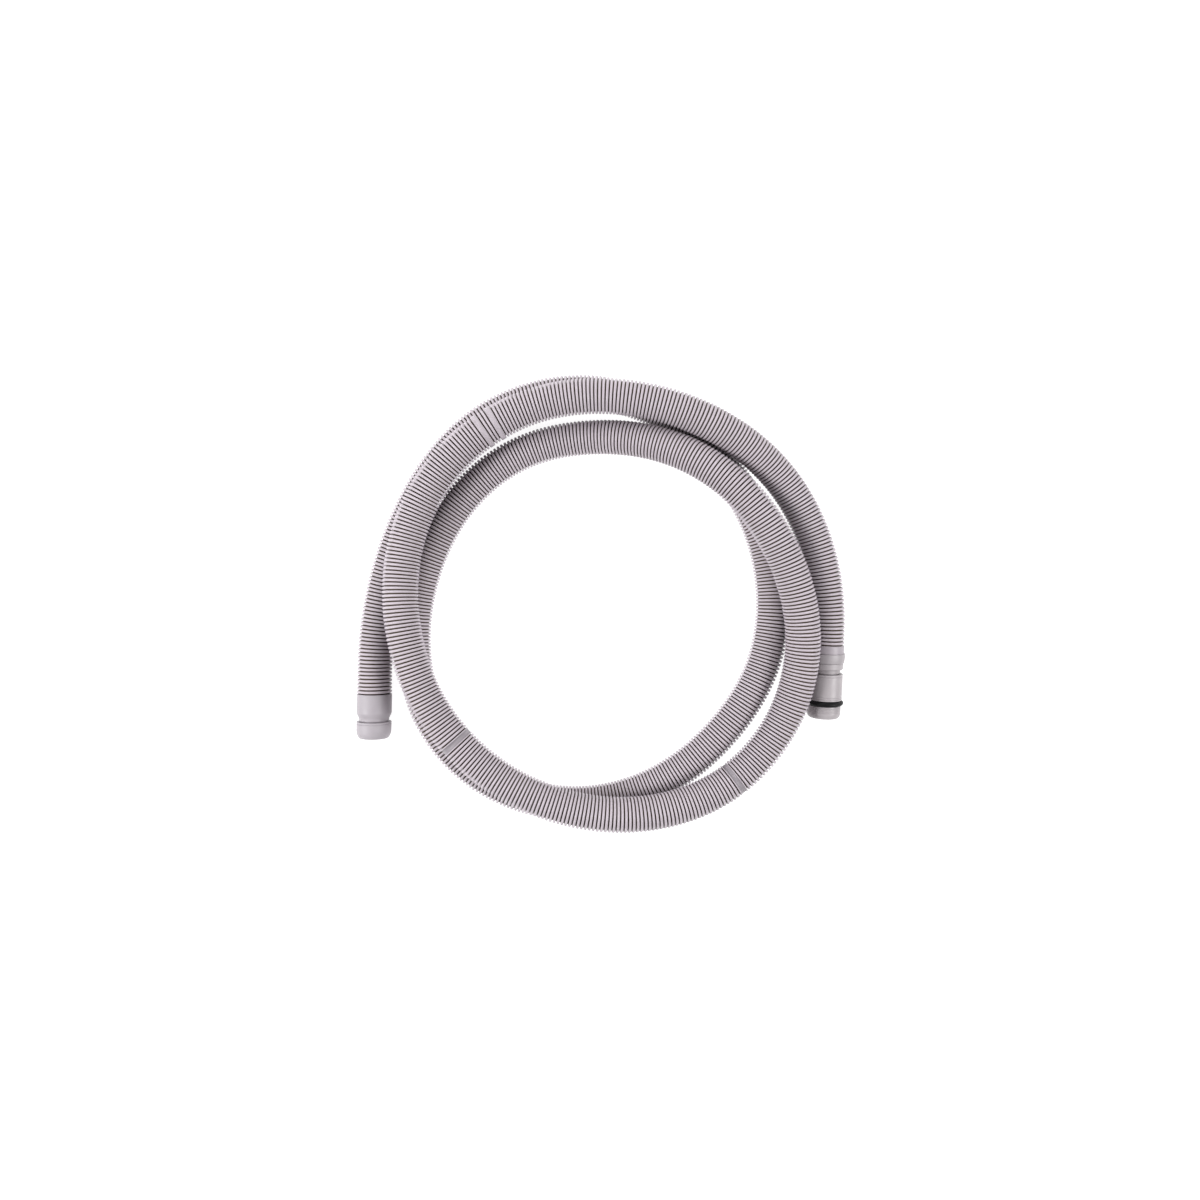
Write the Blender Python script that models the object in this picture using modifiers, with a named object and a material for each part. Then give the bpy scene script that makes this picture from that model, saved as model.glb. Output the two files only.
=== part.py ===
"""Drain hose of a dishwasher, lying in a loose coil of about two and a half turns.

A plain tube stands for the corrugated hose along its real route. At one end sits a soft moulded
outlet cuff with a clamp neck. At the other end a ring clamps the hose on the barbed tail of a
rigid inlet spigot, which has a latch neck, a collar and an O-ring in its groove.
Metres, +Z up. The floor is z = 0 and the origin is under the middle of the coil.
"""
import math

import bmesh
import bpy
import numpy as np
from mathutils import Vector

# Clearances between pieces that touch on the real product
SEAT_GAP = 0.0003
FIT_GAP = 0.0003

# Hose, its diameter over the crests of the corrugations
HOSE_D = 0.0226
HOSE_BORE_D = 0.0180
HOSE_POINTS = 80
HOSE_BEVEL_RESOLUTION = 4

# Water way through both fittings
BORE_D = 0.0146
MOUTH_CHAMFER = 0.0006

# Soft outlet cuff, its stretches in order from the hose's end to the mouth
CUFF_BODY_D = 0.0225
CUFF_BODY_LENGTH = 0.0110
CUFF_TAPER_LENGTH = 0.0049
CUFF_NECK_D = 0.0194
CUFF_NECK_LENGTH = 0.0014
CUFF_FLANGE_D = 0.0225
CUFF_FLANGE_WIDTH = 0.0007
CUFF_GROOVE_D = 0.0208
CUFF_GROOVE_WIDTH = 0.0011
CUFF_LIP_D = 0.0222
CUFF_LIP_LENGTH = 0.0033
CUFF_NOSE_LENGTH = 0.0060
CUFF_MOUTH_D = 0.0168
CUFF_TAIL_LENGTH = 0.0120

# Rigid inlet spigot, its stretches in order from the hose's end to the tip
SPIGOT_D = 0.0227
SHOULDER_LENGTH = 0.0035
SHOULDER_ROUND = 0.0011
NECK_D = 0.0195
NECK_LENGTH = 0.0023
COLLAR_WIDTH = 0.0015
COLLAR_GROOVE_D = 0.0208
COLLAR_GROOVE_WIDTH = 0.0013
SPIGOT_BODY_LENGTH = 0.0149
SEAL_GROOVE_D = 0.0178
NOSE_D = 0.0217
NOSE_LAND_LENGTH = 0.0046
NOSE_LENGTH = 0.0038
NOSE_TIP_D = 0.0172
TAIL_LENGTH = 0.0180
BARB_COUNT = 3
BARB_HEIGHT = 0.0006

# Shares of a barb's pitch, from the hose's end inwards
BARB_LAND = 0.30
BARB_FACE = 0.05
BARB_RAMP = 0.60

# Rubber O-ring
O_RING_SECTION_D = 0.0032

# Ring that clamps the hose on the spigot's tail, in a shallow seat round the hose's end
RING_WIDTH = 0.0061
RING_SEAT_DEPTH = 0.0004
RING_HOSE_WALL = 0.0010
RING_SPIGOT_WALL = 0.0006
RING_CROWN = 0.0002

# Small edges
EDGE_ROUND = 0.0004
EDGE_BREAK = 0.0002

# How far a cutter reaches past the face that it opens
CUTTER_REACH = 0.0010

# Facets
ROUTE_SAMPLES = 1600
TURN_STEPS = 48
ARC_STEPS = 5
O_RING_SIDES = 12
SMOOTH_ANGLE = math.radians(35)
WELD_DISTANCE = 0.00001
MARKER_SIZE = 0.02

# Middle of the hose from the outlet cuff to the spigot: x to the right, y up the coil, height.
# Chosen by hand: a turn and a quarter on the floor, a long hump over them on the right, a turn
# on top of them with a dip at the lower right, and down to the floor outside them again.
ROUTE = (
    (-0.1493, -0.0635, 0.0117),
    (-0.1487, -0.0330, 0.0114),
    (-0.1437, 0.0035, 0.0113),
    (-0.1236, 0.0615, 0.0113),
    (-0.0860, 0.1110, 0.0113),
    (-0.0285, 0.1360, 0.0113),
    (0.0320, 0.1275, 0.0113),
    (0.0775, 0.0925, 0.0113),
    (0.1050, 0.0480, 0.0113),
    (0.1145, 0.0000, 0.0113),
    (0.1065, -0.0470, 0.0113),
    (0.0810, -0.0875, 0.0113),
    (0.0430, -0.1190, 0.0113),
    (-0.0080, -0.1350, 0.0113),
    (-0.0635, -0.1250, 0.0113),
    (-0.1070, -0.0875, 0.0113),
    (-0.1233, -0.0330, 0.0113),
    (-0.1158, 0.0200, 0.0113),
    (-0.0920, 0.0650, 0.0113),
    (-0.0530, 0.0960, 0.0117),
    (-0.0045, 0.1065, 0.0142),
    (0.0430, 0.0985, 0.0251),
    (0.0840, 0.0730, 0.0339),
    (0.1140, 0.0330, 0.0342),
    (0.1295, -0.0180, 0.0301),
    (0.1205, -0.0735, 0.0248),
    (0.0835, -0.1180, 0.0255),
    (0.0280, -0.1365, 0.0325),
    (-0.0275, -0.1305, 0.0345),
    (-0.0750, -0.1060, 0.0325),
    (-0.1095, -0.0650, 0.0331),
    (-0.1255, -0.0135, 0.0344),
    (-0.1215, 0.0420, 0.0328),
    (-0.0925, 0.0915, 0.0323),
    (-0.0435, 0.1225, 0.0323),
    (0.0145, 0.1280, 0.0343),
    (0.0705, 0.1120, 0.0328),
    (0.1185, 0.0760, 0.0236),
    (0.1450, 0.0205, 0.0188),
    (0.1490, -0.0120, 0.0167),
    (0.1485, -0.0413, 0.0145),
)


def clear_scene():
    for item in list(bpy.data.objects):
        bpy.data.objects.remove(item, do_unlink=True)


def new_collection(name):
    collection = bpy.data.collections.new(name)
    bpy.context.scene.collection.children.link(collection)
    return collection


def plastic(name, colour, roughness):
    material = bpy.data.materials.new(name)
    material.use_nodes = True
    shader = material.node_tree.nodes["Principled BSDF"]
    shader.inputs["Base Color"].default_value = (*colour, 1.0)
    shader.inputs["Roughness"].default_value = roughness
    shader.inputs["Metallic"].default_value = 0.0
    return material


def hose_plastic():
    return plastic("warm_grey_blown_plastic", (0.50, 0.47, 0.49), 0.42)


def cuff_plastic():
    return plastic("grey_soft_moulded_plastic", (0.52, 0.49, 0.51), 0.50)


def spigot_plastic():
    return plastic("grey_rigid_moulded_plastic", (0.50, 0.47, 0.49), 0.35)


def ring_plastic():
    return plastic("grey_ring_plastic", (0.51, 0.48, 0.50), 0.38)


def seal_rubber():
    return plastic("black_seal_rubber", (0.012, 0.012, 0.013), 0.45)


def second_derivatives(knots, values):
    """Second derivatives at the knots of the natural cubic spline through the values."""
    count = len(knots)
    spans = np.diff(knots)
    system = np.eye(count)
    right = np.zeros_like(values)
    for i in range(1, count - 1):
        system[i, i - 1] = spans[i - 1]
        system[i, i] = 2.0 * (spans[i - 1] + spans[i])
        system[i, i + 1] = spans[i]
        slope_after = (values[i + 1] - values[i]) / spans[i]
        slope_before = (values[i] - values[i - 1]) / spans[i - 1]
        right[i] = 6.0 * (slope_after - slope_before)
    return np.linalg.solve(system, right)


def spline_point(knots, values, bends, place):
    i = min(int(np.searchsorted(knots, place, side="right")) - 1, len(knots) - 2)
    span = knots[i + 1] - knots[i]
    a = (knots[i + 1] - place) / span
    b = 1.0 - a
    curved = ((a ** 3 - a) * bends[i] + (b ** 3 - b) * bends[i + 1]) * span ** 2 / 6.0
    return a * values[i] + b * values[i + 1] + curved


def smooth_route(count):
    """Evenly spaced points on the smooth curve through ROUTE."""
    points = np.array(ROUTE)
    knots = np.concatenate(([0.0], np.cumsum(np.linalg.norm(np.diff(points, axis=0), axis=1))))
    bends = second_derivatives(knots, points)
    places = np.linspace(0.0, knots[-1], ROUTE_SAMPLES)
    curve = np.array([spline_point(knots, points, bends, place) for place in places])
    steps = np.linalg.norm(np.diff(curve, axis=0), axis=1)
    lengths = np.concatenate(([0.0], np.cumsum(steps)))
    even = np.linspace(0.0, lengths[-1], count)
    return [Vector([float(np.interp(s, lengths, curve[:, k])) for k in range(3)]) for s in even]


def end_marker(name, end, inner, collection, root):
    """Empty at an end of the hose, its +Z pointing out along the hose."""
    marker = bpy.data.objects.new(name, None)
    marker.empty_display_size = MARKER_SIZE
    marker.location = end
    marker.rotation_mode = "QUATERNION"
    marker.rotation_quaternion = (end - inner).to_track_quat("Z", "Y")
    marker.parent = root
    collection.objects.link(marker)
    return marker


def quarter(start, end):
    """Quarter of an ellipse that leaves its start along the axis and ends square to it."""
    (start_r, start_z), (end_r, end_z) = start, end
    points = []
    for i in range(ARC_STEPS + 1):
        turn = math.pi / 2.0 * i / ARC_STEPS
        points.append((end_r + (start_r - end_r) * math.cos(turn),
                       start_z + (end_z - start_z) * math.sin(turn)))
    return points


def eased(start, end):
    """Smooth taper that runs along the axis at both of its ends."""
    (start_r, start_z), (end_r, end_z) = start, end
    points = []
    for i in range(ARC_STEPS + 1):
        share = i / ARC_STEPS
        rise = (1.0 - math.cos(math.pi * share)) / 2.0
        points.append((start_r + (end_r - start_r) * rise, start_z + (end_z - start_z) * share))
    return points


def band(radius, start, end):
    """A raised band with broken edges."""
    return [
        (radius - EDGE_BREAK, start),
        (radius, start + EDGE_BREAK),
        (radius, end - EDGE_BREAK),
        (radius - EDGE_BREAK, end),
    ]


def evaluated_mesh(source):
    bpy.context.view_layer.update()
    graph = bpy.context.evaluated_depsgraph_get()
    return bpy.data.meshes.new_from_object(source.evaluated_get(graph))


def shade(mesh):
    mesh.shade_smooth()
    mesh.set_sharp_from_angle(angle=SMOOTH_ANGLE)


def turned_mesh(name, profile, steps):
    """Turn a closed profile round Z. It runs down its outer side and up its inner side."""
    outline = bpy.data.meshes.new(name + "_profile")
    count = len(profile)
    edges = [(i, (i + 1) % count) for i in range(count)]
    outline.from_pydata([(r, 0.0, z) for r, z in profile], edges, [])
    turning = bpy.data.objects.new(name + "_turning", outline)
    bpy.context.scene.collection.objects.link(turning)
    screw = turning.modifiers.new("Turn", "SCREW")
    screw.axis = "Z"
    screw.steps = steps
    screw.render_steps = steps
    screw.use_merge_vertices = True
    screw.merge_threshold = WELD_DISTANCE
    mesh = evaluated_mesh(turning)
    mesh.name = name
    bpy.data.objects.remove(turning, do_unlink=True)
    bpy.data.meshes.remove(outline)
    shade(mesh)
    return mesh


def turned_part(name, profile, material, collection, marker):
    mesh = turned_mesh(name, profile, TURN_STEPS)
    mesh.materials.clear()
    mesh.materials.append(material)
    part = bpy.data.objects.new(name, mesh)
    part.parent = marker
    collection.objects.link(part)
    return part


def cutter_object(name, mesh, collection, marker):
    cutter = bpy.data.objects.new(name, mesh)
    cutter.parent = marker
    cutter.hide_render = True
    cutter.display_type = "WIRE"
    collection.objects.link(cutter)
    return cutter


def end_socket_cutter(name, depth, collection, marker):
    """Bore that opens the end of the hose for a tail, from outside its end face."""
    mesh = bpy.data.meshes.new(name)
    body = bmesh.new()
    bmesh.ops.create_cone(body, cap_ends=True, segments=TURN_STEPS, radius1=HOSE_BORE_D / 2.0,
                          radius2=HOSE_BORE_D / 2.0, depth=depth + CUTTER_REACH)
    bmesh.ops.translate(body, verts=body.verts, vec=(0.0, 0.0, (CUTTER_REACH - depth) / 2.0))
    body.to_mesh(mesh)
    body.free()
    return cutter_object(name, mesh, collection, marker)


def ring_seat_radius():
    return HOSE_D / 2.0 - RING_SEAT_DEPTH


def ring_seat_cutter(collection, marker):
    """Sleeve that narrows the end of the hose where the clamp ring sits."""
    inner = ring_seat_radius()
    outer = HOSE_D / 2.0 + CUTTER_REACH
    bottom = -RING_WIDTH - FIT_GAP
    profile = [(inner, CUTTER_REACH), (outer, CUTTER_REACH), (outer, bottom), (inner, bottom)]
    mesh = turned_mesh("ring_seat", profile, TURN_STEPS)
    return cutter_object("ring_seat", mesh, collection, marker)


def build_hose(points, root, collection, cutters):
    """Tube along the route, open at both ends for the fittings' tails, with the ring's seat."""
    curve = bpy.data.curves.new("hose_route", "CURVE")
    curve.dimensions = "3D"
    curve.bevel_depth = HOSE_D / 2.0
    curve.bevel_resolution = HOSE_BEVEL_RESOLUTION
    curve.use_fill_caps = True
    spline = curve.splines.new("POLY")
    spline.points.add(len(points) - 1)
    for place, point in zip(spline.points, points):
        place.co = (*point, 1.0)
    route = bpy.data.objects.new("hose_route", curve)
    collection.objects.link(route)
    mesh = evaluated_mesh(route)
    welded = bmesh.new()
    welded.from_mesh(mesh)
    bmesh.ops.remove_doubles(welded, verts=welded.verts, dist=WELD_DISTANCE)
    welded.to_mesh(mesh)
    welded.free()
    hose = bpy.data.objects.new("hose", mesh)
    hose.matrix_world = route.matrix_world
    bpy.data.objects.remove(route, do_unlink=True)
    mesh.materials.clear()
    mesh.materials.append(hose_plastic())
    shade(mesh)
    hose.parent = root
    collection.objects.link(hose)
    for cutter in cutters:
        cut = hose.modifiers.new("Cut " + cutter.name, "BOOLEAN")
        cut.operation = "DIFFERENCE"
        cut.solver = "EXACT"
        cut.object = cutter
    return hose


def cuff_profile():
    """Outlet cuff: tail, hollow body, clamp neck, thin flange, groove and lip with its nose."""
    body_r = CUFF_BODY_D / 2.0
    neck_r = CUFF_NECK_D / 2.0
    lip_r = CUFF_LIP_D / 2.0
    bore_r = BORE_D / 2.0
    tail_r = HOSE_BORE_D / 2.0 - FIT_GAP
    taper_end = CUFF_BODY_LENGTH + CUFF_TAPER_LENGTH
    flange_start = taper_end + CUFF_NECK_LENGTH
    flange_end = flange_start + CUFF_FLANGE_WIDTH
    lip_start = flange_end + CUFF_GROOVE_WIDTH
    nose_start = lip_start + CUFF_LIP_LENGTH
    mouth = nose_start + CUFF_NOSE_LENGTH
    outside = [
        (bore_r, -CUFF_TAIL_LENGTH),
        (tail_r - EDGE_ROUND, -CUFF_TAIL_LENGTH),
        (tail_r, 2.0 * EDGE_ROUND - CUFF_TAIL_LENGTH),
        (tail_r, SEAT_GAP),
        (body_r - EDGE_ROUND, SEAT_GAP),
        (body_r, SEAT_GAP + EDGE_ROUND),
    ]
    outside += eased((body_r, CUFF_BODY_LENGTH), (neck_r, taper_end))
    outside.append((neck_r, flange_start))
    outside += band(CUFF_FLANGE_D / 2.0, flange_start, flange_end)
    outside += [
        (CUFF_GROOVE_D / 2.0, flange_end),
        (CUFF_GROOVE_D / 2.0, lip_start),
        (lip_r - EDGE_BREAK, lip_start),
        (lip_r, lip_start + EDGE_BREAK),
    ]
    outside += quarter((lip_r, nose_start), (CUFF_MOUTH_D / 2.0, mouth))
    outside += [(bore_r + MOUTH_CHAMFER, mouth), (bore_r, mouth - MOUTH_CHAMFER)]
    return outside[::-1]


def build_outlet_cuff(collection, marker):
    return turned_part("outlet_cuff", cuff_profile(), cuff_plastic(), collection, marker)


def ring_profile():
    """Clamp ring, thinner towards the spigot, with a low crown."""
    bore_r = ring_seat_radius() + FIT_GAP
    profile = [(bore_r, 0.0)]
    for i in range(ARC_STEPS + 1):
        share = i / ARC_STEPS
        wall = RING_SPIGOT_WALL + (RING_HOSE_WALL - RING_SPIGOT_WALL) * share
        profile.append((bore_r + wall + RING_CROWN * math.sin(math.pi * share),
                        -RING_WIDTH * share))
    profile.append((bore_r, -RING_WIDTH))
    return profile


def build_clamp_ring(collection, marker):
    return turned_part("clamp_ring", ring_profile(), ring_plastic(), collection, marker)


def seal_groove_start():
    """Where the O-ring's groove starts along the spigot, after its neck, collar and body."""
    neck_end = SHOULDER_LENGTH + SHOULDER_ROUND + NECK_LENGTH
    return neck_end + COLLAR_WIDTH + COLLAR_GROOVE_WIDTH + SPIGOT_BODY_LENGTH


def seal_groove_width():
    return O_RING_SECTION_D + 2.0 * FIT_GAP


def o_ring_middle_radius():
    return SEAL_GROOVE_D / 2.0 + FIT_GAP + O_RING_SECTION_D / 2.0


def tail_outline(crest_r, root_r, bore_r):
    """Outside of the barbed tail from the hose's end face inwards, and round its end."""
    pitch = TAIL_LENGTH / BARB_COUNT
    outline = [(root_r, SEAT_GAP)]
    for i in range(BARB_COUNT):
        step = -pitch * (i + BARB_LAND)
        outline.append((root_r, step))
        outline.append((crest_r, step - pitch * BARB_FACE))
        outline.append((root_r, step - pitch * (BARB_FACE + BARB_RAMP)))
    outline += [(root_r, -TAIL_LENGTH), (bore_r, -TAIL_LENGTH)]
    return outline


def spigot_profile():
    """Inlet spigot: barbed tail, shoulder, latch neck, collar, body, O-ring groove and nose."""
    body_r = SPIGOT_D / 2.0
    bore_r = BORE_D / 2.0
    neck_r = NECK_D / 2.0
    nose_r = NOSE_D / 2.0
    shoulder_end = SHOULDER_LENGTH + SHOULDER_ROUND
    collar_start = shoulder_end + NECK_LENGTH
    collar_end = collar_start + COLLAR_WIDTH
    body_start = collar_end + COLLAR_GROOVE_WIDTH
    seal_start = seal_groove_start()
    seal_end = seal_start + seal_groove_width()
    nose_start = seal_end + NOSE_LAND_LENGTH
    tip = nose_start + NOSE_LENGTH
    crest_r = HOSE_BORE_D / 2.0 - FIT_GAP
    outside = tail_outline(crest_r, crest_r - BARB_HEIGHT, bore_r)[::-1]
    outside += [(body_r - EDGE_BREAK, SEAT_GAP), (body_r, SEAT_GAP + EDGE_BREAK)]
    outside += quarter((body_r, SHOULDER_LENGTH), (neck_r, shoulder_end))
    outside.append((neck_r, collar_start))
    outside += band(body_r, collar_start, collar_end)
    outside += [
        (COLLAR_GROOVE_D / 2.0, collar_end),
        (COLLAR_GROOVE_D / 2.0, body_start),
        (body_r - EDGE_BREAK, body_start),
        (body_r, body_start + EDGE_BREAK),
        (body_r, seal_start),
        (SEAL_GROOVE_D / 2.0, seal_start),
        (SEAL_GROOVE_D / 2.0, seal_end),
        (nose_r, seal_end),
    ]
    outside += quarter((nose_r, nose_start), (NOSE_TIP_D / 2.0, tip))
    outside += [(bore_r + MOUTH_CHAMFER, tip), (bore_r, tip - MOUTH_CHAMFER)]
    return outside[::-1]


def build_inlet_spigot(collection, marker):
    return turned_part("inlet_spigot", spigot_profile(), spigot_plastic(), collection, marker)


def build_o_ring(collection, marker):
    bpy.ops.mesh.primitive_torus_add(major_segments=TURN_STEPS, minor_segments=O_RING_SIDES,
                                     major_radius=o_ring_middle_radius(),
                                     minor_radius=O_RING_SECTION_D / 2.0)
    ring = bpy.context.object
    ring.name = "o_ring"
    for holder in list(ring.users_collection):
        holder.objects.unlink(ring)
    collection.objects.link(ring)
    ring.data.materials.append(seal_rubber())
    ring.data.shade_smooth()
    ring.location = (0.0, 0.0, seal_groove_start() + seal_groove_width() / 2.0)
    ring.parent = marker
    return ring


def build_drain_hose():
    clear_scene()
    parts = new_collection("drain_hose")
    cutters = new_collection("cutters")
    root = bpy.data.objects.new("drain_hose_root", None)
    parts.objects.link(root)
    points = smooth_route(HOSE_POINTS)
    outlet_end = end_marker("outlet_end", points[0], points[1], parts, root)
    inlet_end = end_marker("inlet_end", points[-1], points[-2], parts, root)
    end_cutters = [
        end_socket_cutter("outlet_socket", CUFF_TAIL_LENGTH + FIT_GAP, cutters, outlet_end),
        end_socket_cutter("inlet_socket", TAIL_LENGTH + FIT_GAP, cutters, inlet_end),
        ring_seat_cutter(cutters, inlet_end),
    ]
    build_hose(points, root, parts, end_cutters)
    build_outlet_cuff(parts, outlet_end)
    build_clamp_ring(parts, inlet_end)
    build_inlet_spigot(parts, inlet_end)
    build_o_ring(parts, inlet_end)


build_drain_hose()
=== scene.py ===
"""Looks of a dishwasher's drain hose: the coiled hose with its cuff and its spigot."""
import math

import bmesh
import bpy
import numpy as np
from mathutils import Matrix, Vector


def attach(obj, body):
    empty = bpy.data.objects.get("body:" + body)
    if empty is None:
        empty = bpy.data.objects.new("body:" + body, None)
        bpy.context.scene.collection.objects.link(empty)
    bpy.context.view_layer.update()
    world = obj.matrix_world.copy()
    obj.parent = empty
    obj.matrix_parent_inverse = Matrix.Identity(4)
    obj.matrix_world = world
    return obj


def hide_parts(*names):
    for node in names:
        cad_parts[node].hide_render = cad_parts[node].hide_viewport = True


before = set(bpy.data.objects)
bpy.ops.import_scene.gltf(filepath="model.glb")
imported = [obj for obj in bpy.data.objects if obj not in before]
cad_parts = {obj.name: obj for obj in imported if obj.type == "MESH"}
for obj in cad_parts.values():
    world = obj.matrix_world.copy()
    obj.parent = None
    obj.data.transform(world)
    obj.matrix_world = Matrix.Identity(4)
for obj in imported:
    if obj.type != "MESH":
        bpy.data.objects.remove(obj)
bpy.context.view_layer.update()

MM = 0.001

# Camera straight above the coil, which sees 812.3 mm of the floor across its frame
CAMERA_AT = (0.0, -0.0006, 0.5415)
CAMERA_SENSOR = 36.0
CAMERA_LENS = 24.0
CAMERA_CLIP_START = 0.01

# Hose: radii, and places along it from the cuff, in millimetres
HOSE_CREST_R = 11.38
HOSE_SHOULDER_R = 10.94
HOSE_GROOVE_R = 9.6
HOSE_BORE_R = 9.0
# Points round the outside and round the bore, and millimetres between the bore's rings
HOSE_SIDES = 20
BORE_SIDES = 16
BORE_STEP = 12.0
# Rings of the outside from one point of the path that build_hose returns to the next
PATH_STEP = 5
# The first groove's distance from the cuff, and the last one's from the other end
FIRST_GROOVE = 1.2
LAST_GROOVE_BACK = 12.0
# Distance from groove to groove, and how far from each end it grows
PITCH = 2.37
PITCH_AT_OUTLET = 2.47
PITCH_AT_INLET = 2.45
OUTLET_STRETCH = 115.0
INLET_STRETCH = 90.0
# Shares of a pitch, from a groove's middle: the groove's edge, the crest's shoulder and top
GROOVE_SHARE = 0.11
SHOULDER_SHARE = 0.19
CREST_SHARE = 0.5
# Random spread: a share of the pitch, and millimetres of the crest's radius
PITCH_SPREAD = 0.012
CREST_SPREAD = 0.03
SEED = 7

# Smooth bands: middle along the hose, whether the band is recessed between two thin crests
BANDS = ((1369.0, True), (1565.2, True), (1788.0, False), (1797.4, False))
RECESSED_SPAN = 5.8
LEVEL_SPAN = 4.7
RECESSED_R = 10.6
# Distances from the groove's middle to the rings at the side of a smooth stretch
SIDE_GROOVE = 0.26
SIDE_SHOULDER = 0.45
RECESSED_CREST = (0.65, 1.0)
RECESSED_FLOOR = 1.2
LEVEL_CREST = 0.75
# The smooth stretch by the clamp ring: its start after the groove, its end before the ring
END_CREST = (0.7, 1.0)
END_EDGE = (0.3, 0.12)
END_STEP = 0.08
# Share of the way from the crests' colour to the shade of the smooth stretches
RECESSED_SHADE = 0.60
LEVEL_SHADE = 0.15
END_SHADE = 0.33

# Fittings: steps round the axis, in a fillet and in a curve
TURN_STEPS = 96
FILLET_STEPS = 4
CURVE_STEPS = 12
O_RING_STEPS = 24
SMOOTH_ANGLE = math.radians(32)
# Largest share of a side that a fillet takes up, and share of a fine groove that slopes
FILLET_REACH = 0.48
NOTCH_SLOPE = 0.3

# Fittings, in millimetres: radii, and places along the axis from the hose's end, which
# grow towards the mouth
WATER_WAY_R = 7.3
MOUTH_EDGE_R = 7.9
MOUTH_CHAMFER = 0.6
CUFF_TAIL_R = 8.7
CUFF_TAIL_END = -12.0
CUFF_STEP_R = 9.8
CUFF_STEP = 0.2
CUFF_RIM = -0.85
CUFF_BODY_R = 11.25
CUFF_BODY_END = 11.0
CUFF_NECK_R = 9.7
CUFF_NECK_START = 15.9
CUFF_NECK_END = 16.35
CUFF_UNDERCUT_R = 8.7
CUFF_UNDERCUT = (16.5, 17.3)
CUFF_LIP_R = 11.2
CUFF_LIP_END = 22.4
CUFF_MOUTH_R = 8.4
CUFF_MOUTH = 28.4
RING_WIDTH = 6.1
RING_SEAT_R = 10.9
RING_BORE_R = 11.2
RING_SPIGOT_SIDE_R = 11.75
RING_HOSE_SIDE_R = 12.2
RING_START_R = 11.8
RING_RISE = 0.4
RING_CROWN = 0.2
RING_SHARES = (0.15, 0.35, 0.5, 0.65, 0.85)
SPIGOT_TAIL_R = 8.1
SPIGOT_TAIL_END = -18.0
# Barbs: the shift is a share of the pitch, and the steep side faces the spigot's mouth
BARB_R = 8.7
BARB_COUNT = 3
BARB_PITCH = 6.0
BARB_SHIFT = 0.30
BARB_LENGTH = 3.9
BARB_STEEP_SIDE = 0.3
# Spigot outside the hose, and the O-ring in its groove
SPIGOT_BODY_R = 11.35
SPIGOT_FACE = 0.15
SHOULDER_END = 3.5
SPIGOT_NECK_R = 9.75
SPIGOT_NECK_START = 4.6
SPIGOT_NECK_END = 6.5
SPIGOT_UNDERCUT_R = 8.6
SPIGOT_UNDERCUT = (6.6, 7.4)
SEAL_GROOVE_R = 8.9
SEAL_GROOVE = (24.6, 28.4)
NOSE_R = 10.85
NOSE_LAND_END = 33.0
NOSE_TIP_R = 8.6
SPIGOT_MOUTH = 36.8
O_RING_MIDDLE_R = 10.8
O_RING_SECTION_R = 1.6
O_RING_PLACE = sum(SEAL_GROOVE) / 2.0
# Fine grooves: the cuff's place, width and depth, then the spigot's places, and theirs
CUFF_NOTCH = (18.3, 0.6, 0.25)
COLLAR_NOTCHES = (8.6, 21.9, 23.2)
NOSE_NOTCHES = (29.1, 30.1, 31.1, 32.1)
FINE_NOTCH = (0.5, 0.2)
# Fillets of the fittings' edges
BARB_EDGE = 0.08
NECK_EDGE = 0.1
CRISP_EDGE = 0.15
PLAIN_EDGE = 0.2
RIM_EDGE = 0.25
SOFT_EDGE = 0.3
CUFF_TAIL_EDGE = 0.6

# Colours. A pair gives the two ends of its clouds.
CREST_COLOURS = ((0.474, 0.424, 0.463), (0.453, 0.406, 0.443))
# Painted shade: the grooves darken towards this warm dark brown with their depth
GROOVE_PAINTED_SHADE = (0.046, 0.028, 0.010)
SMOOTH_COLOUR = (0.115, 0.108, 0.117)
CUFF_COLOURS = ((0.370, 0.342, 0.368), (0.354, 0.327, 0.352))
RING_COLOURS = ((0.345, 0.318, 0.333), (0.330, 0.304, 0.319))
SPIGOT_COLOURS = ((0.362, 0.333, 0.346), (0.347, 0.319, 0.332))
RUBBER_COLOURS = ((0.004, 0.004, 0.0045), (0.007, 0.007, 0.0075))
FLOOR_COLOURS = ((0.50, 0.50, 0.50), (0.48, 0.48, 0.48))
# Roughness from the shiniest to the dullest patches, and the strength of the gloss
HOSE_ROUGHNESS = (0.36, 0.50)
CUFF_ROUGHNESS = (0.42, 0.55)
RING_ROUGHNESS = (0.36, 0.48)
SPIGOT_ROUGHNESS = (0.34, 0.46)
RUBBER_ROUGHNESS = (0.42, 0.56)
FLOOR_ROUGHNESS = (0.85, 0.95)
SOFT_GLOSS = 0.3
RIGID_GLOSS = 0.35
RUBBER_GLOSS = 0.15
FLOOR_GLOSS = 0.1
# Noise of the clouds, the shine, the longer waves and the skin: features a metre, detail
HOSE_CLOUDS = (60.0, 4.0)
HOSE_SHINE = (300.0, 4.0)
HOSE_SKIN = (3000.0, 3.0)
MOULDED_CLOUDS = (120.0, 3.0)
MOULDED_SHINE = (260.0, 4.0)
MOULDED_WAVES = (350.0, 2.0)
MOULDED_SKIN = (4200.0, 3.0)
RUBBER_CLOUDS = (300.0, 3.0)
RUBBER_SHINE = (500.0, 4.0)
RUBBER_SKIN = (3500.0, 3.0)
FLOOR_CLOUDS = (3.0, 2.0)
FLOOR_SHINE = (40.0, 2.0)
# Heights in metres of what moulding leaves: the skin, longer waves and the seam
FINE_SKIN = 0.00003
COARSE_SKIN = 0.00004
WAVE_HEIGHT = 0.00012
SEAM_HEIGHT = 0.0001
# Strength of each bump
SKIN_STRENGTH = 0.5
RUBBER_STRENGTH = 0.4
WAVE_STRENGTH = 0.35
SEAM_STRENGTH = 0.6
# Depths below the crest, as shares of the corrugation, between which the colour turns to the
# painted shade of the grooves
SUNK_FROM, SUNK_TO = 0.22, 0.60
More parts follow.
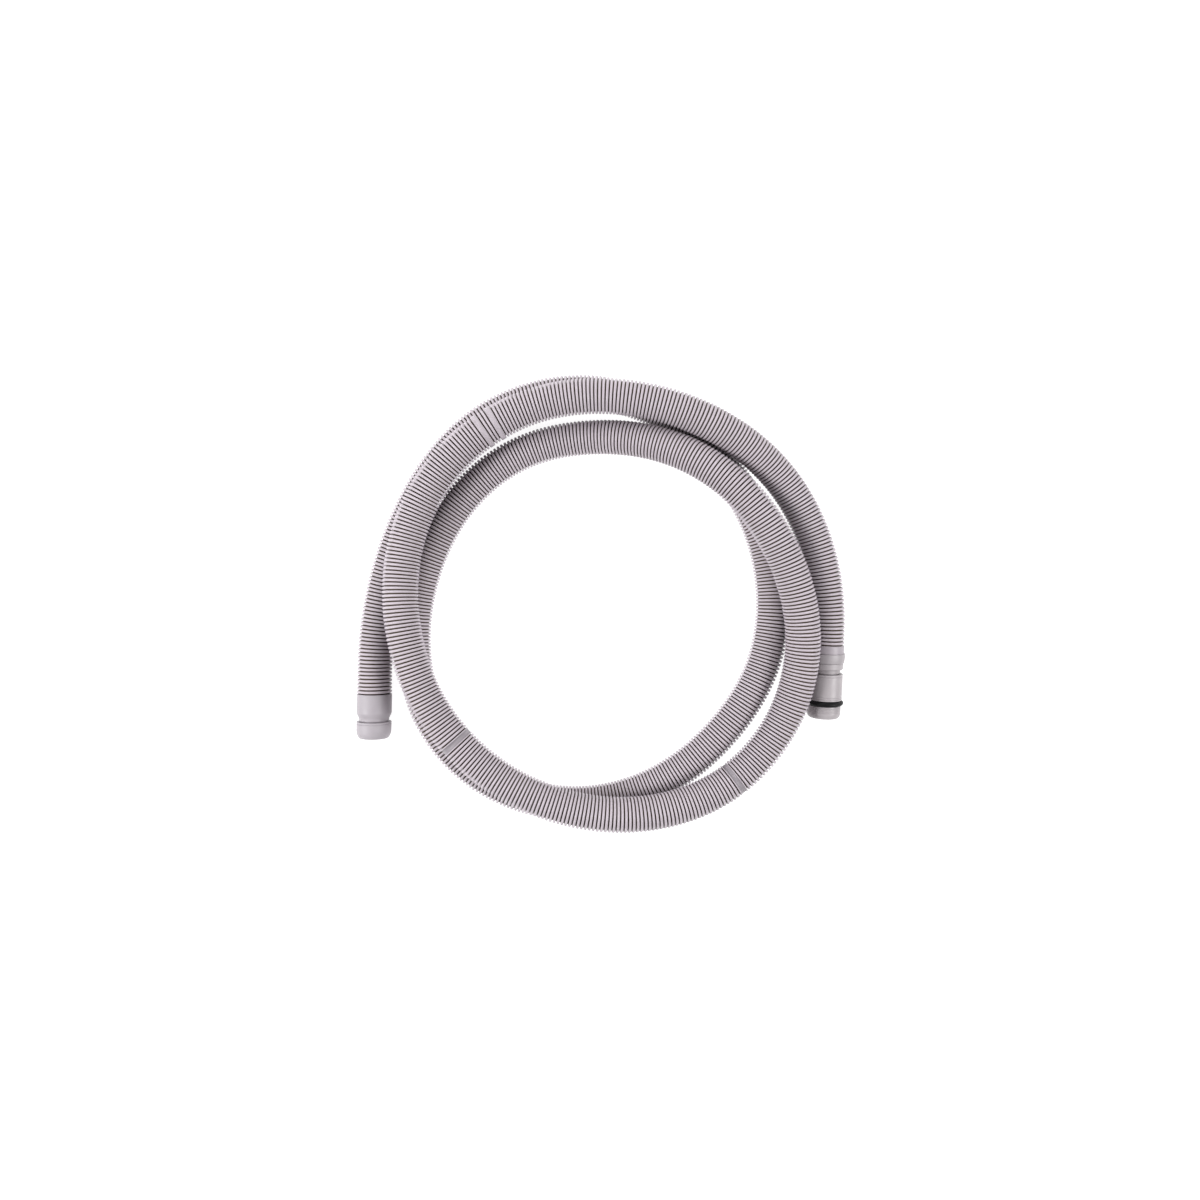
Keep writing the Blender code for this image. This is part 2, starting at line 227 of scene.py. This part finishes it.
# Width of the moulding seam in millimetres on each side of its line
SEAM_WIDTH = 0.35
# Noise values that count as the lowest and the highest
NOISE_LOW, NOISE_HIGH = 0.3, 0.7

# Studio
WHITE = (1.0, 1.0, 1.0, 1.0)
WORLD_STRENGTH = 0.37
FLOOR_HALF = 30.0
FLOOR_HEIGHT = -0.0002
FLOOR_GLOW = 0.86
# Name, place and side in metres, power in watts. Each light looks at the origin.
LIGHTS = (
    ("left", (-1.15, -0.25, 0.97), 0.5, 17.5),
    ("left_low", (-1.3, 0.0, 0.6), 1.2, 4.0),
    ("right", (1.15, -0.25, 0.97), 0.5, 15.1),
    ("behind", (0.0, 0.85, 0.45), 0.9, 5.4),
)

# Middle of the hose from the outlet cuff to the spigot, in metres
ROUTE = (
    (-0.1493, -0.0635, 0.0117),
    (-0.1487, -0.0330, 0.0114),
    (-0.1437, 0.0035, 0.0113),
    (-0.1236, 0.0615, 0.0113),
    (-0.0860, 0.1110, 0.0113),
    (-0.0285, 0.1360, 0.0113),
    (0.0320, 0.1275, 0.0113),
    (0.0775, 0.0925, 0.0113),
    (0.1050, 0.0480, 0.0113),
    (0.1145, 0.0000, 0.0113),
    (0.1065, -0.0470, 0.0113),
    (0.0810, -0.0875, 0.0113),
    (0.0430, -0.1190, 0.0113),
    (-0.0080, -0.1350, 0.0113),
    (-0.0635, -0.1250, 0.0113),
    (-0.1070, -0.0875, 0.0113),
    (-0.1233, -0.0330, 0.0113),
    (-0.1158, 0.0200, 0.0113),
    (-0.0920, 0.0650, 0.0113),
    (-0.0530, 0.0960, 0.0117),
    (-0.0045, 0.1065, 0.0142),
    (0.0430, 0.0985, 0.0251),
    (0.0840, 0.0730, 0.0339),
    (0.1140, 0.0330, 0.0342),
    (0.1295, -0.0180, 0.0301),
    (0.1205, -0.0735, 0.0248),
    (0.0835, -0.1180, 0.0255),
    (0.0280, -0.1365, 0.0325),
    (-0.0275, -0.1305, 0.0345),
    (-0.0750, -0.1060, 0.0325),
    (-0.1095, -0.0650, 0.0331),
    (-0.1255, -0.0135, 0.0344),
    (-0.1215, 0.0420, 0.0328),
    (-0.0925, 0.0915, 0.0323),
    (-0.0435, 0.1225, 0.0323),
    (0.0145, 0.1280, 0.0343),
    (0.0705, 0.1120, 0.0328),
    (0.1185, 0.0760, 0.0236),
    (0.1450, 0.0205, 0.0188),
    (0.1490, -0.0120, 0.0167),
    (0.1485, -0.0413, 0.0145),
)
ROUTE_SAMPLES = 4000
CAD_POINTS = 80


def add_camera():
    data = bpy.data.cameras.new("camera")
    data.sensor_width = CAMERA_SENSOR
    data.lens = CAMERA_LENS
    data.clip_start = CAMERA_CLIP_START
    camera = bpy.data.objects.new("camera", data)
    camera.location = CAMERA_AT
    bpy.context.scene.collection.objects.link(camera)
    bpy.context.scene.camera = camera


def second_derivatives(knots, values):
    """Second derivatives at the knots of the natural cubic spline through the values."""
    count = len(knots)
    spans = np.diff(knots)
    system = np.eye(count)
    right = np.zeros_like(values)
    for i in range(1, count - 1):
        system[i, i - 1] = spans[i - 1]
        system[i, i] = 2.0 * (spans[i - 1] + spans[i])
        system[i, i + 1] = spans[i]
        slope_after = (values[i + 1] - values[i]) / spans[i]
        slope_before = (values[i] - values[i - 1]) / spans[i - 1]
        right[i] = 6.0 * (slope_after - slope_before)
    return np.linalg.solve(system, right)


def spline_point(knots, values, bends, place):
    i = min(int(np.searchsorted(knots, place, side="right")) - 1, len(knots) - 2)
    span = knots[i + 1] - knots[i]
    a = (knots[i + 1] - place) / span
    b = 1.0 - a
    curved = ((a ** 3 - a) * bends[i] + (b ** 3 - b) * bends[i + 1]) * span ** 2 / 6.0
    return a * values[i] + b * values[i + 1] + curved


class Route:
    """The smooth curve through ROUTE, read by the length along it in millimetres."""

    def __init__(self):
        points = np.array(ROUTE)
        spans = np.linalg.norm(np.diff(points, axis=0), axis=1)
        knots = np.concatenate(([0.0], np.cumsum(spans)))
        bends = second_derivatives(knots, points)
        places = np.linspace(0.0, knots[-1], ROUTE_SAMPLES)
        self.curve = np.array([spline_point(knots, points, bends, place) for place in places])
        steps = np.linalg.norm(np.diff(self.curve, axis=0), axis=1)
        self.lengths = np.concatenate(([0.0], np.cumsum(steps))) / MM
        self.length = self.lengths[-1]

    def at(self, places):
        """Points of the curve at these lengths."""
        columns = [np.interp(places, self.lengths, self.curve[:, k]) for k in range(3)]
        return np.stack(columns, axis=-1)

    def frames(self, places, step=1.0):
        """Points, and a side and an up direction square to the curve that don't twist."""
        places = np.asarray(places, dtype=float)
        after = self.at(np.minimum(places + step, self.length))
        before = self.at(np.maximum(places - step, 0.0))
        forward = after - before
        forward /= np.linalg.norm(forward, axis=1)[:, None]
        sides = np.cross(forward, (0.0, 0.0, 1.0))
        sides /= np.linalg.norm(sides, axis=1)[:, None]
        ups = np.cross(sides, forward)
        return self.at(places), sides, ups


def pitch_at(place, length):
    """Distance from groove to groove, which grows towards both ends."""
    pitch = PITCH
    if place < OUTLET_STRETCH:
        pitch = PITCH_AT_OUTLET + (PITCH - PITCH_AT_OUTLET) * (place / OUTLET_STRETCH) ** 2
    if place > length - INLET_STRETCH:
        share = (length - place) / INLET_STRETCH
        pitch = PITCH_AT_INLET + (PITCH - PITCH_AT_INLET) * share ** 2
    return pitch


def band_rings(place, recessed, crest, shoulder):
    """Rings of a smooth band that starts at a groove's middle: place, radius, shade."""
    span = RECESSED_SPAN if recessed else LEVEL_SPAN
    rings = [(place + SIDE_GROOVE, HOSE_GROOVE_R, 0.0), (place + SIDE_SHOULDER, shoulder, 0.0)]
    if recessed:
        rings += [(place + start, crest, 0.0) for start in RECESSED_CREST]
        rings += [(place + middle, RECESSED_R, RECESSED_SHADE)
                  for middle in (RECESSED_FLOOR, span / 2.0, span - RECESSED_FLOOR)]
        rings += [(place + span - start, crest, 0.0) for start in reversed(RECESSED_CREST)]
    else:
        rings += [(place + middle, crest, LEVEL_SHADE)
                  for middle in (LEVEL_CREST, span / 2.0, span - LEVEL_CREST)]
    rings += [(place + span - SIDE_SHOULDER, shoulder, 0.0),
              (place + span - SIDE_GROOVE, HOSE_GROOVE_R, 0.0)]
    return rings


def end_rings(place, length):
    """Rings of the smooth stretch between the last groove and the clamp ring, and its seat."""
    rings = [(place + SIDE_GROOVE, HOSE_GROOVE_R, 0.0),
             (place + SIDE_SHOULDER, HOSE_SHOULDER_R, 0.0)]
    rings += [(place + start, HOSE_CREST_R, END_SHADE) for start in END_CREST]
    rings += [(length - RING_WIDTH - back, HOSE_CREST_R, END_SHADE) for back in END_EDGE]
    rings += [(length - RING_WIDTH - END_STEP, RING_SEAT_R, 0.0), (length, RING_SEAT_R, 0.0)]
    return rings


def hose_rings(length):
    """Rings of the hose's outside in order: place, radius, depth below the crest, shade."""
    random = np.random.default_rng(SEED)
    drop = HOSE_CREST_R - HOSE_GROOVE_R
    rings = []

    def ring(place, radius, shade=0.0):
        depth = 0.0
        if not shade:
            depth = min(max((HOSE_CREST_R - radius) / drop, 0.0), 1.0)
        rings.append((place, radius, depth, shade))

    ring(0.0, HOSE_GROOVE_R)
    place = FIRST_GROOVE
    last = length - LAST_GROOVE_BACK
    bands = sorted(BANDS)
    while place < last - 0.5 * PITCH:
        crest = HOSE_CREST_R + CREST_SPREAD * (random.random() - 0.5)
        shoulder = crest + HOSE_SHOULDER_R - HOSE_CREST_R
        pitch = pitch_at(place, length) * (1.0 + PITCH_SPREAD * (random.random() * 2.0 - 1.0))
        if bands:
            middle, recessed = bands[0]
            span = RECESSED_SPAN if recessed else LEVEL_SPAN
            if place + 0.5 * PITCH > middle - 0.5 * span:
                bands.pop(0)
                for row in band_rings(place, recessed, crest, shoulder):
                    ring(*row)
                place += span
                continue
        for share, radius in ((GROOVE_SHARE, HOSE_GROOVE_R), (SHOULDER_SHARE, shoulder),
                              (CREST_SHARE, crest), (1.0 - SHOULDER_SHARE, shoulder),
                              (1.0 - GROOVE_SHARE, HOSE_GROOVE_R)):
            ring(place + pitch * share, radius)
        place += pitch
    for row in end_rings(place, length):
        ring(*row)
    return rings


def tube_vertices(route, places, radii, sides):
    """Points round the route, one row for each place."""
    centres, across, ups = route.frames(places)
    angles = np.arange(sides) * 2.0 * math.pi / sides
    spokes = (across[:, None] * np.cos(angles)[None, :, None]
              + ups[:, None] * np.sin(angles)[None, :, None])
    return centres[:, None] + spokes * (np.asarray(radii) * MM)[:, None, None]


def tube_faces(rings, sides, start, flipped):
    """Four-sided faces between neighbouring rings, whose first point has the index start."""
    faces = []
    for i in range(rings - 1):
        for k in range(sides):
            a = start + i * sides + k
            b = start + i * sides + (k + 1) % sides
            face = (a, b, b + sides, a + sides)
            faces.append(face[::-1] if flipped else face)
    return faces


def build_hose(route):
    """The corrugated hose with its wall, one closed mesh."""
    rings = hose_rings(route.length)
    places = [row[0] for row in rings]
    outer = tube_vertices(route, places, [row[1] for row in rings], HOSE_SIDES)
    inner_places = np.linspace(0.0, route.length, int(route.length / BORE_STEP))
    inner = tube_vertices(route, inner_places, [HOSE_BORE_R] * len(inner_places), BORE_SIDES)
    split = len(rings) * HOSE_SIDES
    vertices = np.concatenate((outer.reshape(-1, 3), inner.reshape(-1, 3)))
    faces = tube_faces(len(rings), HOSE_SIDES, 0, True)
    faces += tube_faces(len(inner_places), BORE_SIDES, split, False)
    mesh = bpy.data.meshes.new("hose_corrugated")
    mesh.from_pydata(vertices.tolist(), [], faces)
    bore_count = len(inner_places) * BORE_SIDES
    depth = np.concatenate((np.repeat([row[2] for row in rings], HOSE_SIDES),
                            np.ones(bore_count)))
    shade = np.concatenate((np.repeat([row[3] for row in rings], HOSE_SIDES),
                            np.zeros(bore_count)))
    # A moulding seam runs along both sides: the distance to the nearer one, in millimetres
    half_turn = HOSE_SIDES / 2.0
    column = np.arange(HOSE_SIDES)
    from_seam = np.minimum(column % half_turn, half_turn - column % half_turn)
    spacing = 2.0 * math.pi * HOSE_CREST_R / HOSE_SIDES
    seam = np.concatenate((np.tile(from_seam * spacing, len(rings)),
                           np.full(bore_count, half_turn * spacing)))
    for name, values in (("depth", depth), ("shade", shade), ("seam", seam)):
        layer = mesh.attributes.new(name, "FLOAT", "POINT")
        layer.data.foreach_set("value", values.astype(np.float32))
    close_ends(mesh, split, len(rings), len(inner_places))
    mesh.shade_smooth()
    hose = bpy.data.objects.new("corrugated_hose", mesh)
    bpy.context.scene.collection.objects.link(hose)
    return hose, route.at(np.array(places[::PATH_STEP] + [route.length]))


def close_ends(mesh, split, outer_count, inner_count):
    """Join the outer and the inner tube by a flat ring at each end."""
    work = bmesh.new()
    work.from_mesh(mesh)
    work.verts.ensure_lookup_table()
    for outer_start, inner_start in ((0, split),
                                     ((outer_count - 1) * HOSE_SIDES,
                                      split + (inner_count - 1) * BORE_SIDES)):
        loop = []
        for start, sides in ((outer_start, HOSE_SIDES), (inner_start, BORE_SIDES)):
            for k in range(sides):
                pair = (work.verts[start + k], work.verts[start + (k + 1) % sides])
                loop.append(work.edges.get(pair))
        bmesh.ops.bridge_loops(work, edges=loop)
    bmesh.ops.recalc_face_normals(work, faces=work.faces)
    work.to_mesh(mesh)
    work.free()


def rounded(corners):
    """Closed outline through (radius, place, fillet) corners. A fillet of 0 stays sharp."""
    outline = []
    count = len(corners)
    for i, (radius, height, fillet) in enumerate(corners):
        here = Vector((radius, height))
        if not fillet:
            outline.append(here)
            continue
        before = Vector(corners[i - 1][:2]) - here
        after = Vector(corners[(i + 1) % count][:2]) - here
        reach = fillet / math.tan(before.angle(after) / 2.0)
        reach = min(reach, FILLET_REACH * before.length, FILLET_REACH * after.length)
        start = here + before.normalized() * reach
        end = here + after.normalized() * reach
        for k in range(FILLET_STEPS + 1):
            t = k / FILLET_STEPS
            outline.append(start * (1.0 - t) ** 2 + here * 2.0 * t * (1.0 - t) + end * t ** 2)
    return outline


def quarter(start, end):
    """Quarter of an ellipse that leaves its start along the axis and ends square to it."""
    corners = []
    for i in range(CURVE_STEPS + 1):
        turn = math.pi / 2.0 * i / CURVE_STEPS
        corners.append((end[0] + (start[0] - end[0]) * math.cos(turn),
                        start[1] + (end[1] - start[1]) * math.sin(turn), 0.0))
    return corners


def eased(start, end):
    """Smooth taper that runs along the axis at both of its ends."""
    corners = []
    for i in range(CURVE_STEPS + 1):
        share = i / CURVE_STEPS
        rise = (1.0 - math.cos(math.pi * share)) / 2.0
        corners.append((start[0] + (end[0] - start[0]) * rise,
                        start[1] + (end[1] - start[1]) * share, 0.0))
    return corners


def turned(name, corners, end, axis):
    """Turn a closed outline round the axis that leaves the hose's end."""
    outline = rounded(corners)
    across = Vector(axis).cross((0.0, 0.0, 1.0)).normalized()
    up = across.cross(Vector(axis)).normalized()
    count = len(outline)
    vertices = []
    for step in range(TURN_STEPS):
        angle = 2.0 * math.pi * step / TURN_STEPS
        spoke = across * math.cos(angle) + up * math.sin(angle)
        vertices += [Vector(end) + (spoke * r + Vector(axis) * z) * MM for r, z in outline]
    faces = []
    for step in range(TURN_STEPS):
        here = step * count
        there = (step + 1) % TURN_STEPS * count
        for k in range(count):
            after = (k + 1) % count
            faces.append((here + k, here + after, there + after, there + k))
    mesh = bpy.data.meshes.new(name)
    mesh.from_pydata(vertices, [], faces)
    work = bmesh.new()
    work.from_mesh(mesh)
    bmesh.ops.recalc_face_normals(work, faces=work.faces)
    work.to_mesh(mesh)
    work.free()
    mesh.shade_smooth()
    mesh.set_sharp_from_angle(angle=SMOOTH_ANGLE)
    piece = bpy.data.objects.new(name, mesh)
    bpy.context.scene.collection.objects.link(piece)
    return piece


def notch(radius, start, width, depth):
    """Fine groove in a turned face, from its start towards the mouth."""
    return [
        (radius, start, 0.0),
        (radius - depth, start + NOTCH_SLOPE * width, 0.0),
        (radius - depth, start + (1.0 - NOTCH_SLOPE) * width, 0.0),
        (radius, start + width, 0.0),
    ]


def mouth_corners(mouth):
    """Flat mouth and the chamfer from it into the water way."""
    return [
        (MOUTH_EDGE_R, mouth, CRISP_EDGE),
        (WATER_WAY_R, mouth - MOUTH_CHAMFER, SOFT_EDGE),
    ]


def cuff_corners():
    """Tail, rim over the hose's end, body, neck with its undercut, grooved lip and mouth."""
    undercut_start, flange = CUFF_UNDERCUT
    corners = [
        (WATER_WAY_R, CUFF_TAIL_END, PLAIN_EDGE),
        (CUFF_TAIL_R, CUFF_TAIL_END, CUFF_TAIL_EDGE),
        (CUFF_TAIL_R, CUFF_STEP, 0.0),
        (CUFF_STEP_R, CUFF_STEP, 0.0),
        (CUFF_STEP_R, CUFF_RIM, 0.0),
        (CUFF_BODY_R, CUFF_RIM, RIM_EDGE),
    ]
    corners += eased((CUFF_BODY_R, CUFF_BODY_END), (CUFF_NECK_R, CUFF_NECK_START))
    corners += [
        (CUFF_NECK_R, CUFF_NECK_END, NECK_EDGE),
        (CUFF_UNDERCUT_R, undercut_start, NECK_EDGE),
        (CUFF_UNDERCUT_R, flange, NECK_EDGE),
        (CUFF_BODY_R, flange, CRISP_EDGE),
    ]
    corners += notch(CUFF_BODY_R, *CUFF_NOTCH)
    corners += quarter((CUFF_LIP_R, CUFF_LIP_END), (CUFF_MOUTH_R, CUFF_MOUTH))
    return corners + mouth_corners(CUFF_MOUTH)


def ring_corners():
    """Slightly crowned ring, wider on the side of the hose."""
    corners = [(RING_BORE_R, 0.0, 0.0), (RING_SPIGOT_SIDE_R, 0.0, PLAIN_EDGE)]
    for share in RING_SHARES:
        bulge = RING_CROWN * math.sin(math.pi * share)
        corners.append((RING_START_R + RING_RISE * share + bulge, -RING_WIDTH * share, 0.0))
    corners += [(RING_HOSE_SIDE_R, -RING_WIDTH, PLAIN_EDGE), (RING_BORE_R, -RING_WIDTH, 0.0)]
    return corners


def spigot_corners():
    """Barbed tail, shoulder, latch neck, grooved collar, O-ring groove and ribbed nose."""
    undercut_start, collar = SPIGOT_UNDERCUT
    groove_start, groove_end = SEAL_GROOVE
    corners = [
        (WATER_WAY_R, SPIGOT_TAIL_END, PLAIN_EDGE),
        (SPIGOT_TAIL_R, SPIGOT_TAIL_END, PLAIN_EDGE),
    ]
    for barb in reversed(range(BARB_COUNT)):
        top = -BARB_PITCH * (barb + BARB_SHIFT)
        corners += [
            (SPIGOT_TAIL_R, top - BARB_LENGTH, SOFT_EDGE),
            (BARB_R, top - BARB_STEEP_SIDE, BARB_EDGE),
            (SPIGOT_TAIL_R, top, CRISP_EDGE),
        ]
    corners += [
        (SPIGOT_TAIL_R, SPIGOT_FACE, CRISP_EDGE),
        (SPIGOT_BODY_R, SPIGOT_FACE, CRISP_EDGE),
    ]
    corners += quarter((SPIGOT_BODY_R, SHOULDER_END), (SPIGOT_NECK_R, SPIGOT_NECK_START))
    corners += [
        (SPIGOT_NECK_R, SPIGOT_NECK_END, NECK_EDGE),
        (SPIGOT_UNDERCUT_R, undercut_start, NECK_EDGE),
        (SPIGOT_UNDERCUT_R, collar, NECK_EDGE),
        (SPIGOT_BODY_R, collar, CRISP_EDGE),
    ]
    for place in COLLAR_NOTCHES:
        corners += notch(SPIGOT_BODY_R, place, *FINE_NOTCH)
    corners += [
        (SPIGOT_BODY_R, groove_start, CRISP_EDGE),
        (SEAL_GROOVE_R, groove_start, PLAIN_EDGE),
        (SEAL_GROOVE_R, groove_end, PLAIN_EDGE),
        (NOSE_R, groove_end, CRISP_EDGE),
    ]
    for place in NOSE_NOTCHES:
        corners += notch(NOSE_R, place, *FINE_NOTCH)
    corners += quarter((NOSE_R, NOSE_LAND_END), (NOSE_TIP_R, SPIGOT_MOUTH))
    return corners + mouth_corners(SPIGOT_MOUTH)


def o_ring_corners():
    corners = []
    for k in range(O_RING_STEPS):
        angle = 2.0 * math.pi * k / O_RING_STEPS
        corners.append((O_RING_MIDDLE_R + O_RING_SECTION_R * math.cos(angle),
                        O_RING_PLACE + O_RING_SECTION_R * math.sin(angle), 0.0))
    return corners


def new_material(name):
    material = bpy.data.materials.new(name)
    material.use_nodes = True
    return material, material.node_tree, material.node_tree.nodes["Principled BSDF"]


def add_noise(tree, scale, detail):
    """Noise in the object's own coordinates. The scale is in features a metre."""
    place = tree.nodes.new("ShaderNodeTexCoord")
    noise = tree.nodes.new("ShaderNodeTexNoise")
    noise.inputs["Scale"].default_value = scale
    noise.inputs["Detail"].default_value = detail
    tree.links.new(place.outputs["Object"], noise.inputs["Vector"])
    return noise.outputs["Fac"]


def add_range(tree, value, low, high, from_low=NOISE_LOW, from_high=NOISE_HIGH):
    """Value between from_low and from_high, spread from low to high and held outside them."""
    ranged = tree.nodes.new("ShaderNodeMapRange")
    ranged.inputs["From Min"].default_value = from_low
    ranged.inputs["From Max"].default_value = from_high
    ranged.inputs["To Min"].default_value = low
    ranged.inputs["To Max"].default_value = high
    tree.links.new(value, ranged.inputs["Value"])
    return ranged.outputs["Result"]


def read_attribute(tree, name):
    """A number that build_hose stores at each point of the hose."""
    attribute = tree.nodes.new("ShaderNodeAttribute")
    attribute.attribute_name = name
    return attribute.outputs["Fac"]


def add_mix(tree, factor, first, second):
    """Mix of two colours, each a tuple or another node's output."""
    mix = tree.nodes.new("ShaderNodeMix")
    mix.data_type = "RGBA"
    tree.links.new(factor, mix.inputs["Factor"])
    for socket, colour in ((mix.inputs["A"], first), (mix.inputs["B"], second)):
        if isinstance(colour, tuple):
            socket.default_value = (*colour, 1.0)
        else:
            tree.links.new(colour, socket)
    return mix.outputs["Result"]


def add_bump(tree, height, distance, strength, under=None):
    """Bump of this height in metres, over another bump where one is given."""
    bump = tree.nodes.new("ShaderNodeBump")
    bump.inputs["Distance"].default_value = distance
    bump.inputs["Strength"].default_value = strength
    tree.links.new(height, bump.inputs["Height"])
    if under is not None:
        tree.links.new(under, bump.inputs["Normal"])
    return bump.outputs["Normal"]


def add_clouds(tree, noise, colours):
    """Soft clouds of two colours."""
    return add_mix(tree, add_range(tree, add_noise(tree, *noise), 0.0, 1.0), *colours)


def set_surface(tree, shader, colour, shine, roughness, gloss):
    """Give the shader its colour, its patches of shine and the strength of its gloss."""
    tree.links.new(colour, shader.inputs["Base Color"])
    patches = add_range(tree, add_noise(tree, *shine), *roughness)
    tree.links.new(patches, shader.inputs["Roughness"])
    shader.inputs["Specular IOR Level"].default_value = gloss


def moulded_material(name, colours, roughness, skin_height, gloss):
    """Moulded plastic: cloudy colour, patches of shine, fine skin and a few longer waves."""
    material, tree, shader = new_material(name)
    clouds = add_clouds(tree, MOULDED_CLOUDS, colours)
    set_surface(tree, shader, clouds, MOULDED_SHINE, roughness, gloss)
    waves = add_bump(tree, add_noise(tree, *MOULDED_WAVES), WAVE_HEIGHT, WAVE_STRENGTH)
    skin = add_bump(tree, add_noise(tree, *MOULDED_SKIN), skin_height, SKIN_STRENGTH, waves)
    tree.links.new(skin, shader.inputs["Normal"])
    return material


def hose_material():
    """Blown plastic: paler crests, warm painted shade in the grooves, a faint seam along both
    sides.
    """
    material, tree, shader = new_material("hose_plastic_look")
    crest = add_clouds(tree, HOSE_CLOUDS, CREST_COLOURS)
    # Painted shade in the grooves: the deeper a point lies below the crest, the darker its
    # colour
    painted_groove_shade = add_range(tree, read_attribute(tree, "depth"), 0.0, 1.0, SUNK_FROM, SUNK_TO)
    colour = add_mix(tree, painted_groove_shade, crest, GROOVE_PAINTED_SHADE)
    colour = add_mix(tree, read_attribute(tree, "shade"), colour, SMOOTH_COLOUR)
    set_surface(tree, shader, colour, HOSE_SHINE, HOSE_ROUGHNESS, SOFT_GLOSS)
    ridge = add_range(tree, read_attribute(tree, "seam"), 1.0, 0.0, 0.0, SEAM_WIDTH)
    along = add_bump(tree, ridge, SEAM_HEIGHT, SEAM_STRENGTH)
    skin = add_bump(tree, add_noise(tree, *HOSE_SKIN), FINE_SKIN, SKIN_STRENGTH, along)
    tree.links.new(skin, shader.inputs["Normal"])
    return material


def rubber_material():
    """Smooth black rubber with patches of shine."""
    material, tree, shader = new_material("seal_rubber_look")
    clouds = add_clouds(tree, RUBBER_CLOUDS, RUBBER_COLOURS)
    set_surface(tree, shader, clouds, RUBBER_SHINE, RUBBER_ROUGHNESS, RUBBER_GLOSS)
    skin = add_bump(tree, add_noise(tree, *RUBBER_SKIN), FINE_SKIN, RUBBER_STRENGTH)
    tree.links.new(skin, shader.inputs["Normal"])
    return material


def floor_material():
    """Pale floor that gives some light of its own, so that shadows stay faint on it."""
    material, tree, shader = new_material("pale_floor")
    clouds = add_clouds(tree, FLOOR_CLOUDS, FLOOR_COLOURS)
    set_surface(tree, shader, clouds, FLOOR_SHINE, FLOOR_ROUGHNESS, FLOOR_GLOSS)
    shader.inputs["Emission Color"].default_value = WHITE
    shader.inputs["Emission Strength"].default_value = FLOOR_GLOW
    return material


def add_floor():
    mesh = bpy.data.meshes.new("floor")
    corners = [(x * FLOOR_HALF, y * FLOOR_HALF, 0.0)
               for x, y in ((-1, -1), (1, -1), (1, 1), (-1, 1))]
    mesh.from_pydata(corners, [], [(0, 1, 2, 3)])
    mesh.materials.append(floor_material())
    floor = bpy.data.objects.new("floor", mesh)
    floor.location = (0.0, 0.0, FLOOR_HEIGHT)
    bpy.context.scene.collection.objects.link(floor)


def add_area(name, place, size, power):
    """Square light that looks at the origin."""
    data = bpy.data.lights.new(name, "AREA")
    data.shape = "SQUARE"
    data.size = size
    data.energy = power
    light = bpy.data.objects.new(name, data)
    light.location = place
    light.rotation_mode = "QUATERNION"
    light.rotation_quaternion = (-Vector(place)).to_track_quat("-Z", "Y")
    bpy.context.scene.collection.objects.link(light)


def add_light():
    world = bpy.data.worlds.new("studio")
    bpy.context.scene.world = world
    world.use_nodes = True
    back = world.node_tree.nodes["Background"]
    back.inputs["Color"].default_value = WHITE
    back.inputs["Strength"].default_value = WORLD_STRENGTH
    for name, place, size, power in LIGHTS:
        add_area(name, place, size, power)
    bpy.context.scene.view_settings.view_transform = "Standard"


def dress(piece, material, node):
    """Give a piece its look and its slot, in place of the CAD node."""
    piece.data.materials.clear()
    piece.data.materials.append(material)
    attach(piece, "root")
    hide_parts(node)


add_camera()
route = Route()
hose, path = build_hose(route)
points = route.at(np.linspace(0.0, route.length, CAD_POINTS))
outlet_axis = Vector(points[0] - points[1]).normalized()
inlet_axis = Vector(points[-1] - points[-2]).normalized()
cuff = turned("moulded_cuff", cuff_corners(), points[0], outlet_axis)
ring = turned("hose_clamp_ring", ring_corners(), points[-1], inlet_axis)
spigot = turned("moulded_spigot", spigot_corners(), points[-1], inlet_axis)
seal = turned("rubber_seal", o_ring_corners(), points[-1], inlet_axis)

dress(hose, hose_material(), "hose")
dress(cuff,
      moulded_material("cuff_look", CUFF_COLOURS, CUFF_ROUGHNESS, COARSE_SKIN, SOFT_GLOSS),
      "outlet_cuff")
dress(ring,
      moulded_material("ring_look", RING_COLOURS, RING_ROUGHNESS, FINE_SKIN, RIGID_GLOSS),
      "clamp_ring")
dress(spigot,
      moulded_material("spigot_look", SPIGOT_COLOURS, SPIGOT_ROUGHNESS, FINE_SKIN,
                       RIGID_GLOSS),
      "inlet_spigot")
dress(seal, rubber_material(), "o_ring")

add_floor()
add_light()
